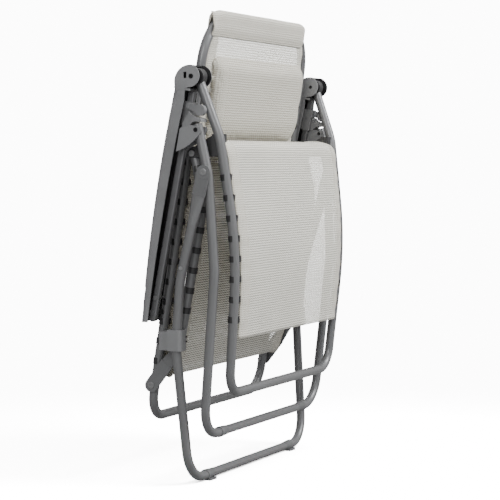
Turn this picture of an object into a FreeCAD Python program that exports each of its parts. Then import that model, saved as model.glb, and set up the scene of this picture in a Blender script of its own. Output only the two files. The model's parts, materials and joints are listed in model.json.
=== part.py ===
"""Zero gravity recliner, folded flat and standing on its rear leg frame.

Millimetres. +X runs across the chair, -Y is the front of the folded stack (the legrest panel
faces it), +Y the back (the armrests), +Z up. The origin is on the ground midway between the
two rear feet, under the rear crossbar. Every side piece is made for the left (-X) side and
mirrored for the right.
"""
import FreeCAD
import Part
import math
import os

V = FreeCAD.Vector

# ---- driving dimensions ---------------------------------------------------------------------
TUBE_R = 10.0            # outer radius of the steel tube
WALL = 1.2               # its wall
BAR_R = 9.4              # the two foot crossbars are one size smaller
FOOT_R = 11.5            # plastic foot sleeves on them
FOOT_COLLAR = 10.0       # length of a sleeve at its full size
FOOT_RAMP = 26.0         # length over which it tapers to the bar
PAD_Y = (-15.0, 11.0)    # flat pad under each rear sleeve, below the weight of the folded chair
PAD_L = 30.0
PAD_T = 4.5
FLAT_W = 29.0            # width of a flattened tube end
FLAT_T = 5.0             # its thickness
PIN_R = 4.0              # rivets and pivot pins
RIVET_HEAD_R = 7.0
RIVET_HEAD_T = 2.2
RIVET_DIMPLE_R = 3.0
APEX_FLAT = 60.0         # length over which the rear leg's tube is pressed flat
HIP_FLAT = 34.0          # the same on the seat tube
COLLAR_PIN_R = 5.0       # pin from the collar into the seat tube
BUTTON_Z = 457.0         # spring button on the outside of the rear leg
BUTTON_R = 4.0
RUN = 0.3                # radial clearance of a pin in the piece that turns on it
FREE = 1.0               # clearance at the two pivots where the linkage is left open
SHEET_T = 3.0            # stand-in thickness of the sling

# pivots of the linkage, as (y, z) in the folded pose
HIP = (94.5, 205.0)      # seat tube on backrest frame
ARM_REAR = (75.5, 362.0)     # armrest on backrest bracket
ARM_FRONT = (-27.0, 850.0)   # armrest on the top of the legrest frame
KNEE = (ARM_FRONT[0] - (ARM_REAR[0] - HIP[0]), ARM_FRONT[1] - (ARM_REAR[1] - HIP[1]))
LEG_PIVOT = (22.0, 306.0)    # seat tube on rear leg
APEX = (-53.5, 655.0)        # rear leg on front leg
SLIDER = (-36.5, 741.0)      # front leg on the sliding clamp

# tube centre lines, as (y, z) from the bottom up, with (bend radius) where they bend
REAR_LEG = [(0.0, FOOT_R), (22.0, 290.0), (8.0, 430.0), APEX]
FRONT_LEG = [(-32.0, 105.0), (-65.0, 450.0), (-56.0, 648.0), SLIDER]
LEGREST = [(-77.0, 193.0), (-103.5, 490.0), (-72.0, 728.0), ARM_FRONT]
SEAT = [HIP, (28.0, 290.0), (-28.0, 590.0), KNEE]
BACK_BOTTOM = (104.0, 134.0)
BACK_TOP = (-25.4, 981.0)

# half widths at the bottom and top of each frame
REAR_X = (300.0, 341.0)
FRONT_X = (298.0, 328.0)
LEGREST_X = (269.0, 312.0)
SEAT_X = 289.5
BACK_X = (277.0, 261.0)

BEND_R = 150.0           # gentle bends in the side view
KNEE_BEND_R = 900.0      # the legrest's long curve
HIP_BEND_R = 16.0        # where the seat tube is flattened back to the hip
CORNER_R = 65.0          # bottom corners of the two leg frames
LEGREST_CORNER_R = 50.0
BACK_CORNER_R = 55.0
BACK_TOP_R = 100.0
LEG_BENDS = [CORNER_R, BEND_R, BEND_R]
SEAT_BENDS = [HIP_BEND_R, BEND_R]
LEGREST_BENDS = [KNEE_BEND_R, BEND_R]

# armrest shell: x range, and outline of its side in (y, z)
ARM_X = (284.5, 345.0)
ARM_WALL = 2.5
LUG_R = 23.5
LUG_FRONT = 18.5         # how far the ear reaches in front of its pivot
ARM_END_Z = 343.0
ARM_END = (75.3, 92.2)   # front and back of its cut lower end
ARM_ROUND = 11.0         # rounding of its long back edges

# flat rod under the armrest that the clamp slides on
ROD_TOP = (-17.6, 825.5)
ROD_BOTTOM = (76.0, 350.0)
ROD_X = 315.0
ROD_W = 15.0             # along the side view
ROD_D = 13.0             # across
ROD_WALL = 1.5

CLAMP_X = (304.5, 326.0)     # housing round the rod
CLAMP_GAP = 0.5              # running gap on the rod
PLATE_T = 4.0                # fork plates of the clamp

CLIP_PITCH = 42.0
BACK_CLIP_Z = (256.0, 850.0)     # first clip, and the height that the row stays below
SEAT_CLIP_Z = (367.0, 670.0)
LEGREST_CLIP_Z = (350.0, 650.0)
CLIP_L = 13.0            # length of a clip along the tube
CLIP_T = 1.3             # its wall round the tube
CLIP_OPEN = 2.0          # how far past the tube's middle it hooks round
HEM_GAP = 16.0           # tube centre line to the sling's edge
SLING_LIFT = 6.5         # tube centre line to the sling's plane
LEGREST_LIFT = 12.0      # the same on the legrest, where it passes in front of the tubes
LEGREST_HEM_GAP = 11.0

PILLOW_HALF_W = 232.0
PILLOW_Z = (712.0, 918.0)
PILLOW_T = 28.0

KNEE_PLATE_T = 3.0       # hinge bracket on the legrest tube
KNEE_SADDLE = 20.0       # how far it reaches behind the tube's centre line
KNEE_TOP = 40.0
KNEE_LOW = 6.0

REAR_TUBE_TOP = 548.0    # height where the rear leg starts to be flattened
FOOT_JOINT_X = 228.0     # where a leg ends and the crossbar starts
BACK_SPLIT = (230.0, 860.0)      # heights where the bottom loop, the sides and the top loop meet
LEGREST_SPLIT = 262.0    # height where the legrest's bottom loop meets its sides
COLLAR_Z = (284.0, 328.0)        # plastic collar on the rear leg
COLLAR_BACK = 60.0
COLLAR_FRONT = 4.0
END_DISC_X = (302.0, 322.0)
END_DISC_R = 17.5

# parts of the clamp, as (up the rod, behind the rod) from the point beside the slider pivot
LEVER_PIVOT = (44.0, -5.0)
LEVER_LOBE = (40.0, -31.0)
LEVER_R = 11.5
LEVER_T = 5.0
LEVER_PIN_R = 2.5
LEVER_OUTLINE = [(50.0, -4.0), (38.0, -4.0), (33.0, -22.0), (30.0, -30.0), (49.0, -33.0)]
HOUSING = (3.0, 36.0, -12.0, 11.5)       # clamp housing: low and high a, low and high b
HOUSING_RIM = (34.0, 52.0, -13.5, 11.5)  # its raised upper end
ROD_RIVET_A = -362.0     # rivet at the lower end of the rod
FORK_OUTLINE = [(-3.0, 1.0), (-52.0, 0.5), (-31.0, -27.5), (-0.5, -47.5), (7.0, -45.0), (7.5, -22.5)]
SADDLE_OUTLINE = [
    (34.0, -11.0), (28.0, -18.0), (25.5, -28.0), (24.0, -39.0), (21.5, -42.0), (18.2, -43.0),
    (16.8, -38.0), (16.8, -31.0), (13.5, -23.5), (8.0, -19.8), (4.0, -18.5), (4.0, -10.5),
]
CHEEK_OUTLINE = [(28.0, -10.0), (4.0, -17.0), (-30.0, -8.0), (-44.0, -3.5), (-39.0, -1.5), (9.0, -1.5)]
FORK_OUTER = (339.3, 343.3)      # x ranges of the plates
FORK_INNER = (313.0, 316.7)
LEG_TOP_REACH = 12.0     # how far the front leg's tube runs past the slider pivot
SLIDER_STRAY = 15.0      # how far down the rod the front leg's top can lie from the screw halfway

POCKET_HALF_W = 226.0
POCKET_Z = 930.0         # lower edge of its front and back
POCKET_SLACK = 1.0       # gap between the bar and the pocket
BACK_SLING_Z = (233.0, 912.0)
SEAT_SLING_Z = (224.0, 690.0)
LEGREST_SLING_Z = (311.0, 708.0)


# ---- small helpers ---------------------------------------------------------------------------
def on_line(low, high, z):
    """The (y) of a straight line through two (y, z) points at height z."""
    return low[0] + (high[0] - low[0]) * (z - low[1]) / (high[1] - low[1])


def along(points, z):
    """The y of a broken line, given from the bottom up, at height z."""
    for low, high in zip(points, points[1:]):
        if z <= high[1]:
            return on_line(low, high, z)
    return on_line(points[-2], points[-1], z)


def taper(widths, low_z, high_z, z):
    """Half width at height z of a frame that tapers evenly."""
    return widths[0] + (widths[1] - widths[0]) * (z - low_z) / (high_z - low_z)


def rounded_path(points, radii):
    """A wire of straight runs joined by tangent arcs; radii are given for the inner points."""
    edges = []
    start = points[0]
    for before, corner, after, radius in zip(points, points[1:], points[2:], radii):
        to_before = (before - corner).normalize()
        to_after = (after - corner).normalize()
        half = to_before.getAngle(to_after) / 2
        reach = radius / math.tan(half)
        first = corner + to_before * reach
        last = corner + to_after * reach
        middle_dir = (to_before + to_after).normalize()
        middle = corner + middle_dir * (radius / math.sin(half) - radius)
        edges.append(Part.LineSegment(start, first).toShape())
        edges.append(Part.Arc(first, middle, last).toShape())
        start = last
    edges.append(Part.LineSegment(start, points[-1]).toShape())
    return Part.Wire(edges)


def round_bar(points, radii, radius):
    """A solid round bar along a rounded path."""
    path = rounded_path(points, radii)
    circle = Part.Wire([Part.Circle(points[0], points[1] - points[0], radius).toShape()])
    return path.makePipeShell([circle], True, True)


def round_tube(points, radii):
    """A hollow tube along a rounded path."""
    return round_bar(points, radii, TUBE_R).cut(round_bar(points, radii, TUBE_R - WALL))


def x_cylinder(centre, radius, x_low, x_high):
    """A cylinder along X through a (y, z) point."""
    return Part.makeCylinder(radius, x_high - x_low, V(x_low, centre[0], centre[1]), V(1, 0, 0))


def x_plate(outline, x_low, x_high):
    """A flat plate whose side view is the polygon outline, in (y, z)."""
    points = [V(x_low, y, z) for y, z in outline]
    face = Part.Face(Part.makePolygon(points + [points[0]]))
    return face.extrude(V(x_high - x_low, 0, 0))


def mirrored(shape):
    """The same piece on the other side of the chair."""
    twin = shape.mirror(V(0, 0, 0), V(1, 0, 0))
    if not twin.isValid():
        twin.fix(0.001, 0.001, 0.001)
    return twin


def toward(start, end, distance):
    """The (y, z) point that lies a distance from start on the way to end."""
    length = math.hypot(end[0] - start[0], end[1] - start[1])
    share = distance / length
    return (start[0] + (end[0] - start[0]) * share, start[1] + (end[1] - start[1]) * share)


def ellipse_wire(centre, normal, major_dir, major, minor):
    """One closed edge, so that it lofts cleanly to another."""
    if major - minor < 1e-6:
        curve = Part.Circle(centre, normal, major)
        curve.XAxis = major_dir
        return Part.Wire([curve.toShape()])
    curve = Part.Ellipse(centre, major, minor)
    curve.Axis = normal
    curve.XAxis = major_dir
    return Part.Wire([curve.toShape()])


def flattened_end(tip, tube_end, run):
    """Tube pressed flat at its tip: a round-ended plate, then a taper of length run to the tube.

    tip and tube_end are 3D points in line with the tube; the plate lies square to X.
    """
    back = (tube_end - tip).normalize()
    side = back.cross(V(1, 0, 0)).normalize()
    plate_end = tube_end - back * run
    taper_piece = Part.makeLoft([
        ellipse_wire(plate_end, back, side, FLAT_W / 2, FLAT_T / 2),
        ellipse_wire(tube_end, back, side, TUBE_R, TUBE_R),
    ], True)
    half = side * (FLAT_W / 2)
    lift = V(FLAT_T / 2, 0, 0)
    corners = [tip + half, plate_end + half, plate_end - half, tip - half]
    corners = [corner - lift for corner in corners]
    slab = Part.Face(Part.makePolygon(corners + [corners[0]])).extrude(lift * 2)
    nose = Part.makeCylinder(FLAT_W / 2, FLAT_T, tip - lift, V(1, 0, 0))
    return slab.fuse(nose).fuse(taper_piece).removeSplitter()


# ---- rear leg frame: the frame that the folded chair stands on ----------------------------------
def rear_x(z):
    return taper(REAR_X, FOOT_R, APEX[1], z)


def rear_leg_points():
    tube_top = (on_line(REAR_LEG[2], APEX, REAR_TUBE_TOP), REAR_TUBE_TOP)
    points = [V(-FOOT_JOINT_X, 0, FOOT_R)]
    return points + [V(-rear_x(z), y, z) for y, z in REAR_LEG[:3] + [tube_top]]


def rear_leg():
    """A leg with its bottom corner, flattened at the top where it meets the front leg."""
    points = rear_leg_points()
    tube = round_tube(points, LEG_BENDS)
    tip = V(-REAR_X[1], APEX[0], APEX[1])
    end = flattened_end(tip, points[-1], APEX_FLAT)
    hole = x_cylinder(APEX, PIN_R, -REAR_X[1] - 20, -REAR_X[1] + 20)
    return tube.fuse(end).cut(hole)


def crossbar(y, z):
    """A foot crossbar, from one leg's end to the other's."""
    end = V(-FOOT_JOINT_X, y, z)
    outer = Part.makeCylinder(BAR_R, 2 * FOOT_JOINT_X, end, V(1, 0, 0))
    return outer.cut(Part.makeCylinder(BAR_R - WALL, 2 * FOOT_JOINT_X, end, V(1, 0, 0)))


def foot_sleeve(y, z, pad):
    """Tapered plastic sleeve on the crossbar, next to the leg; pad adds a flat underside."""
    start = V(-FOOT_JOINT_X + 0.4, y, z)
    sleeve = Part.makeCylinder(FOOT_R, FOOT_COLLAR, start, V(1, 0, 0))
    ramp_start = start + V(FOOT_COLLAR, 0, 0)
    sleeve = sleeve.fuse(Part.makeCone(FOOT_R, BAR_R + 0.6, FOOT_RAMP, ramp_start, V(1, 0, 0)))
    if pad:
        block = Part.makeBox(PAD_L, PAD_Y[1] - PAD_Y[0], PAD_T, start + V(0, PAD_Y[0], -FOOT_R))
        upright = [edge for edge in block.Edges if abs(edge.tangentAt(0).z) > 0.9]
        sleeve = sleeve.fuse(block.makeFillet(3.0, upright))
    bore = Part.makeCylinder(BAR_R + RUN, 2 * PAD_L, start - V(5, 0, 0), V(1, 0, 0))
    return sleeve.cut(bore).removeSplitter()


def rivet(centre, outer_face, shank_end):
    """A rivet from the left: a head with a rounded rim and a dimple, and a shank to shank_end."""
    head = x_cylinder(centre, RIVET_HEAD_R, outer_face - RIVET_HEAD_T, outer_face)
    rim = [edge for edge in head.Edges if edge.Closed and edge.CenterOfMass.x < outer_face - 1]
    head = head.makeFillet(0.9, rim)
    dimple_x = outer_face - RIVET_HEAD_T
    dimple = x_cylinder(centre, RIVET_DIMPLE_R, dimple_x - 1, dimple_x + 1)
    return head.cut(dimple).fuse(x_cylinder(centre, PIN_R, outer_face, shank_end))


def apex_rivet():
    """Rivet on the flattened end of the rear leg; its shank turns in the front leg."""
    return rivet(APEX, -REAR_X[1] - FLAT_T / 2, -REAR_X[1] + 24)


def leg_button():
    """Spring button on the outside of the rear leg."""
    centre = (along(REAR_LEG, BUTTON_Z), BUTTON_Z)
    x = -rear_x(BUTTON_Z) - TUBE_R
    button = x_cylinder(centre, BUTTON_R, x - 1.2, x + 2.0)
    return button.cut(round_bar(rear_leg_points(), LEG_BENDS, TUBE_R))


def leg_collar():
    """Plastic housing clamped round the rear leg, beside the pivot of the seat tube."""
    x_mid = -rear_x(LEG_PIVOT[1])
    x_low = x_mid - TUBE_R - 3.6
    x_high = -(SEAT_X + TUBE_R + 0.9)
    depth = COLLAR_BACK - COLLAR_FRONT
    corner = V(x_low, COLLAR_FRONT, COLLAR_Z[0])
    block = Part.makeBox(x_high - x_low, depth, COLLAR_Z[1] - COLLAR_Z[0], corner)
    upright = [edge for edge in block.Edges if abs(edge.tangentAt(0).z) > 0.9]
    block = block.makeFillet(8.0, upright)
    wing_cut = Part.makeBox(12.0, 60, 100, V(x_low - 1, 36.0, COLLAR_Z[0] - 10))
    wing_top = Part.makeBox(60, 60, 10, V(x_low - 5, 38.0, COLLAR_Z[1] - 5))
    block = block.cut(wing_cut).cut(wing_top)
    tube_space = round_bar(rear_leg_points(), LEG_BENDS, TUBE_R)
    return block.cut(tube_space).cut(leg_pivot_pin())


def collar_screws():
    """Two screw heads on the front face of the collar."""
    x = -(SEAT_X + TUBE_R + 8.0)
    heads = []
    for z in (303.0, 313.0):
        heads.append(Part.makeCylinder(2.0, 2.0, V(x, COLLAR_FRONT - 2.0, z), V(0, 1, 0)))
    return heads


def leg_pivot_pin():
    """Pin from the collar into the seat tube."""
    return x_cylinder(LEG_PIVOT, COLLAR_PIN_R, -(SEAT_X + TUBE_R + 6.0), -(SEAT_X - TUBE_R - 2.0))


# ---- front leg frame ------------------------------------------------------------------------------
def front_x(z):
    return taper(FRONT_X, FRONT_LEG[0][1], SLIDER[1], z)


def front_leg():
    """A leg with its bottom corner; its top end turns in the fork of the sliding clamp."""
    top = toward(FRONT_LEG[2], SLIDER, math.dist(FRONT_LEG[2], SLIDER) + LEG_TOP_REACH)
    points = [V(-FOOT_JOINT_X, FRONT_LEG[0][0], FRONT_LEG[0][1])]
    points += [V(-front_x(z), y, z) for y, z in FRONT_LEG[:3] + [top]]
    tube = round_tube(points, LEG_BENDS)
    apex_hole = x_cylinder(APEX, PIN_R + RUN, -360, -300)
    slider_hole = x_cylinder(SLIDER, PIN_R + FREE, -360, -300)
    return tube.cut(apex_hole).cut(slider_hole)


# ---- seat tubes --------------------------------------------------------------------------------------
def seat_points():
    tube_start = toward(SEAT[1], HIP, 14.0)
    top = toward(SEAT[2], KNEE, math.dist(SEAT[2], KNEE) + 13.0)
    return [V(-SEAT_X, y, z) for y, z in [tube_start] + SEAT[1:3] + [top]]


def seat_tube():
    """A seat side tube from the knee pivot to the collar, then flattened back to the hip pivot."""
    points = seat_points()
    tube = round_tube(points, SEAT_BENDS)
    tip = V(-SEAT_X, HIP[0], HIP[1])
    tube = tube.fuse(flattened_end(tip, points[0], HIP_FLAT))
    x_range = (-SEAT_X - 30, -SEAT_X + 30)
    tube = tube.cut(x_cylinder(HIP, PIN_R, *x_range))
    tube = tube.cut(x_cylinder(LEG_PIVOT, COLLAR_PIN_R + RUN, *x_range))
    return tube.cut(x_cylinder(KNEE, PIN_R + RUN, *x_range))


def hip_rivet():
    """Rivet through the flattened seat tube end; its shank turns in the backrest frame."""
    outer_face = -(SEAT_X + FLAT_T / 2)
    return rivet(HIP, outer_face, outer_face + 32.0)


# ---- backrest frame -----------------------------------------------------------------------------------
def back_y(z):
    return on_line(BACK_BOTTOM, BACK_TOP, z)


def back_point(side, z):
    x = taper(BACK_X, BACK_BOTTOM[1], BACK_TOP[1], z)
    return V(side * x, back_y(z), z)


def back_loop(corner_z, end_z, radius):
    """The bottom or the top of the frame: a bar with both its corners."""
    points = [back_point(-1, end_z), back_point(-1, corner_z)]
    points += [back_point(1, corner_z), back_point(1, end_z)]
    return round_tube(points, [radius, radius])


def back_bottom():
    holes = x_cylinder(HIP, PIN_R + RUN, -320, 320)
    return back_loop(BACK_BOTTOM[1], BACK_SPLIT[0], BACK_CORNER_R).cut(holes)


def back_top():
    return back_loop(BACK_TOP[1], BACK_SPLIT[1], BACK_TOP_R)


def back_points():
    return [back_point(-1, z) for z in BACK_SPLIT]


def back_side():
    return straight_tube(*back_points())


def straight_tube(start, end):
    direction = end - start
    outer = Part.makeCylinder(TUBE_R, direction.Length, start, direction)
    return outer.cut(Part.makeCylinder(TUBE_R - WALL, direction.Length, start, direction))


def arm_bracket():
    """Lug welded to the back of the frame, with the stud that the armrest turns on."""
    z = ARM_REAR[1]
    tube_x = back_point(-1, z).x
    x_low = tube_x - 8.5
    lug = x_cylinder(ARM_REAR, 9.0, x_low, x_low + 5.0)
    weld = Part.makeBox(9.0, 12.0, 18.0, V(x_low, back_y(z) + 4.0, z - 9.0))
    stud = x_cylinder(ARM_REAR, PIN_R, -(ROD_X + ROD_D / 2 + 0.6), x_low)
    head = x_cylinder(ARM_REAR, 5.5, -(ROD_X + ROD_D / 2 + 2.4), -(ROD_X + ROD_D / 2 + 0.4))
    start = back_point(-1, z - 40)
    run = back_point(-1, z + 40) - start
    tube_space = Part.makeCylinder(TUBE_R, run.Length, start, run)
    return lug.fuse(weld).fuse(stud).fuse(head).cut(tube_space)


# ---- legrest frame -------------------------------------------------------------------------------------
def legrest_x(z):
    return taper(LEGREST_X, LEGREST[0][1], LEGREST[-1][1], z)


def legrest_points():
    start = (along(LEGREST, LEGREST_SPLIT), LEGREST_SPLIT)
    top = toward(ARM_FRONT, LEGREST[2], 10.0)
    return [V(-legrest_x(z), y, z) for y, z in [start] + LEGREST[1:3] + [top]]


def legrest_bar():
    return round_bar(legrest_points(), LEGREST_BENDS, TUBE_R)


def legrest_side():
    """A bent side tube, from the bottom loop up to the armrest pivot."""
    return round_tube(legrest_points(), LEGREST_BENDS)


def legrest_bottom():
    """The bottom bar with both its corners."""
    points = []
    low = LEGREST[0][1]
    for side, z in ((-1, LEGREST_SPLIT), (-1, low), (1, low), (1, LEGREST_SPLIT)):
        points.append(V(side * legrest_x(z), along(LEGREST, z), z))
    return round_tube(points, [LEGREST_CORNER_R, LEGREST_CORNER_R])


def end_disc():
    """Plastic end piece on the top of the legrest tube, between the two ears of the armrest."""
    disc = x_cylinder(ARM_FRONT, END_DISC_R, -END_DISC_X[1], -END_DISC_X[0])
    rims = [edge for edge in disc.Edges if edge.Closed]
    disc = disc.makeFillet(2.0, rims)
    top = toward(ARM_FRONT, LEGREST[2], 10.0)
    socket_end = toward(ARM_FRONT, LEGREST[2], 40.0)
    start = V(-legrest_x(top[1]), top[0], top[1])
    end = V(-legrest_x(socket_end[1]), socket_end[0], socket_end[1])
    socket = Part.makeCylinder(TUBE_R, (end - start).Length, start, end - start)
    return disc.cut(socket).cut(x_cylinder(ARM_FRONT, PIN_R + FREE, -360, -280))


def knee_bracket():
    """Hinge bracket on the back of the legrest tube: a saddle and two plates to the knee pivot."""
    y, z = KNEE
    tube_y = along(LEGREST, z)
    outer = -(SEAT_X + TUBE_R + 1.0)
    inner = -(SEAT_X - TUBE_R - 1.0)
    saddle_back = tube_y + KNEE_SADDLE
    outline = [
        (saddle_back - 4.0, z + KNEE_TOP), (y + 2.0, z + 10.0), (y + 9.0, z + 4.0),
        (y + 9.0, z - 4.0), (y + 2.0, z - 9.0), (saddle_back - 4.0, z - KNEE_LOW),
    ]
    bracket = x_plate(outline, outer - KNEE_PLATE_T, outer)
    bracket = bracket.fuse(x_plate(outline, inner, inner + KNEE_PLATE_T))
    corner = V(-legrest_x(z) - TUBE_R + 2.0, tube_y + 2.0, z - KNEE_LOW)
    far = V(inner + KNEE_PLATE_T, saddle_back, z + KNEE_TOP)
    bracket = bracket.fuse(Part.makeBox(far.x - corner.x, far.y - corner.y, far.z - corner.z, corner))
    hole = x_cylinder(KNEE, PIN_R, outer - KNEE_PLATE_T - 1, inner + KNEE_PLATE_T + 1)
    return bracket.cut(legrest_bar()).cut(hole).removeSplitter()


def knee_pin():
    """Pin through the bracket and the top of the seat tube."""
    outer = -(SEAT_X + TUBE_R + 1.0) - KNEE_PLATE_T
    inner = -(SEAT_X - TUBE_R - 1.0) + KNEE_PLATE_T
    head = x_cylinder(KNEE, 6.5, outer - 1.8, outer)
    return head.fuse(x_cylinder(KNEE, PIN_R, outer, inner))


# ---- armrests ------------------------------------------------------------------------------------------
def arm_outline(inset):
    """Side view of the armrest shell as a wire at x = 0; inset gives the inside of its back wall."""
    front = ARM_FRONT[0]
    top = ARM_FRONT[1] + LUG_R - inset
    crown = V(0, front + 3.0, top)
    shoulder_mid = V(0, -1.5 - inset, 866.0 - inset)
    shoulder = V(0, 11.5 - inset, 838.0)
    back_mid = V(0, 61.5 - inset, 590.0)
    back_end = V(0, ARM_END[1] - inset, ARM_END_Z)
    edges = [
        Part.Arc(crown, shoulder_mid, shoulder).toShape(),
        Part.Arc(shoulder, back_mid, back_end).toShape(),
    ]
    return crown, edges, back_end


def arm_solid():
    """The armrest as a solid block with its lug, before it is hollowed."""
    crown, edges, back_end = arm_outline(0.0)
    front_end = V(0, ARM_END[0], ARM_END_Z)
    front_top = V(0, -10.5, 802.0)
    throat = V(0, -12.5, 818.0)
    lug_foot = V(0, ARM_FRONT[0] + LUG_R * math.cos(1.25), ARM_FRONT[1] - LUG_R * math.sin(1.25))
    edges.append(Part.LineSegment(back_end, front_end).toShape())
    edges.append(Part.Arc(front_end, V(0, 28.0, 625.0), front_top).toShape())
    edges.append(Part.LineSegment(front_top, throat).toShape())
    edges.append(Part.Arc(throat, V(0, -14.6, 824.5), lug_foot).toShape())
    lug_front = V(0, ARM_FRONT[0] - LUG_FRONT, ARM_FRONT[1])
    lug_top = V(0, ARM_FRONT[0], ARM_FRONT[1] + LUG_R)
    edges.append(Part.Arc(lug_foot, lug_front, lug_top).toShape())
    edges.append(Part.LineSegment(lug_top, crown).toShape())
    face = Part.Face(Part.Wire(edges))
    face.translate(V(-ARM_X[1], 0, 0))
    return face.extrude(V(ARM_X[1] - ARM_X[0], 0, 0))


def arm_hollow():
    """The space inside the shell, open at the front and at the bottom end."""
    crown, edges, back_end = arm_outline(ARM_WALL + 0.8)
    low = V(0, back_end.y + 0.4, ARM_END_Z - 5)
    edges.append(Part.LineSegment(back_end, low).toShape())
    corners = [low, V(0, -120, ARM_END_Z - 5), V(0, -120, 900), V(0, crown.y, 900), crown]
    for start, end in zip(corners, corners[1:]):
        edges.append(Part.LineSegment(start, end).toShape())
    face = Part.Face(Part.Wire(edges))
    face.translate(V(-ARM_X[1] + ARM_WALL, 0, 0))
    return face.extrude(V(ARM_X[1] - ARM_X[0] - 2 * ARM_WALL, 0, 0))


def back_edges(solid, x_values):
    """Edges of the armrest's long back surface, at the given x."""
    found = []
    for edge in solid.Edges:
        middle = edge.valueAt((edge.FirstParameter + edge.LastParameter) / 2)
        on_side = min(abs(middle.x - x) for x in x_values) < 0.01
        straight_up = edge.Length > 450 and middle.y > 40
        if on_side and straight_up:
            found.append(edge)
    return found


def armrest_shell():
    """Moulded channel over the rod, with two ears round the legrest pivot."""
    solid = arm_solid()
    solid = solid.makeFillet(ARM_ROUND, back_edges(solid, (-ARM_X[0], -ARM_X[1])))
    hollow = arm_hollow()
    inside_x = (-ARM_X[0] - ARM_WALL, -ARM_X[1] + ARM_WALL)
    hollow = hollow.makeFillet(ARM_ROUND - ARM_WALL, back_edges(hollow, inside_x))
    shell = solid.cut(hollow)
    slot = Part.makeBox(6.0, 7.0, 13.0, V(-ARM_X[1] - 2, -16.5, 846.0))
    shell = shell.cut(slot).fuse(rod_rest()).fuse(rear_rest())
    holes = x_cylinder(ARM_FRONT, PIN_R, -360, -280)
    holes = holes.fuse(x_cylinder(ARM_REAR, PIN_R + RUN, -ROD_X, -280))
    holes = holes.fuse(x_cylinder(rod_rivet_place(), PIN_R - 1, -ROD_X, -280))
    return shell.cut(holes).removeSplitter()


def rod_frame_point(a, b):
    """(y, z) of a point a mm up the rod and b mm behind it, from the point beside the slider pivot."""
    up = toward(ROD_BOTTOM, ROD_TOP, 1.0)
    e = (up[0] - ROD_BOTTOM[0], up[1] - ROD_BOTTOM[1])
    n = (e[1], -e[0])
    to_pivot = (SLIDER[0] - ROD_BOTTOM[0], SLIDER[1] - ROD_BOTTOM[1])
    reach = to_pivot[0] * e[0] + to_pivot[1] * e[1]
    base = (ROD_BOTTOM[0] + e[0] * reach, ROD_BOTTOM[1] + e[1] * reach)
    return (base[0] + e[0] * a + n[0] * b, base[1] + e[1] * a + n[1] * b)


def rod_block(a_low, a_high, b_low, b_high, x_low, x_high):
    """A block lined up with the rod."""
    corners = [(a_low, b_low), (a_low, b_high), (a_high, b_high), (a_high, b_low)]
    return x_plate([rod_frame_point(a, b) for a, b in corners], x_low, x_high)


def rod_length():
    """How far the rod's top lies above the point beside the slider pivot."""
    base = rod_frame_point(0, 0)
    return math.dist(base, ROD_TOP)


def rod_rest():
    """Cross wall of the shell that carries the top of the rod."""
    top = rod_length()
    rest = rod_block(top - 4.5, top, -ROD_W / 2, 30.0, -ARM_X[1] + 1, -ARM_X[0] - 1)
    rest = rest.common(arm_side_space())
    return rest.cut(rod_solid())


def arm_side_space():
    """Everything in front of the shell's back surface."""
    crown, edges, back_end = arm_outline(1.0)
    corners = [back_end, V(0, -60, ARM_END_Z), V(0, -60, crown.z), crown]
    for start, end in zip(corners, corners[1:]):
        edges.append(Part.LineSegment(start, end).toShape())
    face = Part.Face(Part.Wire(edges))
    face.translate(V(-ARM_X[1], 0, 0))
    return face.extrude(V(ARM_X[1] - ARM_X[0], 0, 0))


def rear_rest():
    """Boss between the rod and the inner wall, round the rear pivot."""
    boss = x_cylinder(ARM_REAR, 8.5, -(ROD_X - ROD_D / 2), -ARM_X[0] - 1)
    return boss.common(arm_side_space())


def rod_solid(gap=0.0):
    """The rod's outline as a solid bar with a round lower end, grown by gap all round."""
    low = -math.dist(rod_frame_point(0, 0), ROD_BOTTOM)
    half_w = ROD_W / 2 + gap
    half_d = ROD_D / 2 + gap
    top = rod_length() + (20.0 if gap else 0.0)
    bar = rod_block(low, top, -half_w, half_w, -ROD_X - half_d, -ROD_X + half_d)
    long_edges = [edge for edge in bar.Edges if edge.Length > 100]
    bar = bar.makeFillet(3.5, long_edges)
    end = x_cylinder(ROD_BOTTOM, half_w, -ROD_X - half_d, -ROD_X + half_d)
    return bar.fuse(end).removeSplitter()


def armrest_rod():
    """Flat-sided tube that the clamp slides on."""
    low = -math.dist(rod_frame_point(0, 0), ROD_BOTTOM)
    half_w = ROD_W / 2 - ROD_WALL
    half_d = ROD_D / 2 - ROD_WALL
    bore = rod_block(low + 50, rod_length() + 5, -half_w, half_w, -ROD_X - half_d, -ROD_X + half_d)
    rod = rod_solid().cut(bore)
    rod = rod.cut(x_cylinder(ARM_REAR, PIN_R + RUN, -360, -280))
    return rod.cut(x_cylinder(rod_rivet_place(), PIN_R - 1, -360, -280))


def rod_rivet_place():
    return rod_frame_point(ROD_RIVET_A, 0.0)


def rod_rivet():
    """Rivet that holds the lower end of the rod in the shell."""
    face = -(ROD_X + ROD_D / 2)
    head = x_cylinder(rod_rivet_place(), 5.0, face - 1.8, face)
    shank = x_cylinder(rod_rivet_place(), PIN_R - 1, face, -ARM_X[0] - ARM_WALL - 1)
    return head.fuse(shank)


def armrest_screw():
    """Screw through both ears and the legrest's end piece."""
    shank = x_cylinder(ARM_FRONT, PIN_R, -ARM_X[1], -ARM_X[0] - 0.5)
    head = x_cylinder(ARM_FRONT, 5.0, -ARM_X[1] - 1.0, -ARM_X[1])
    recess = x_cylinder(ARM_FRONT, 2.8, -ARM_X[1] - 2.0, -ARM_X[1] + 1.5)
    return shank.fuse(head).cut(recess)


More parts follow.
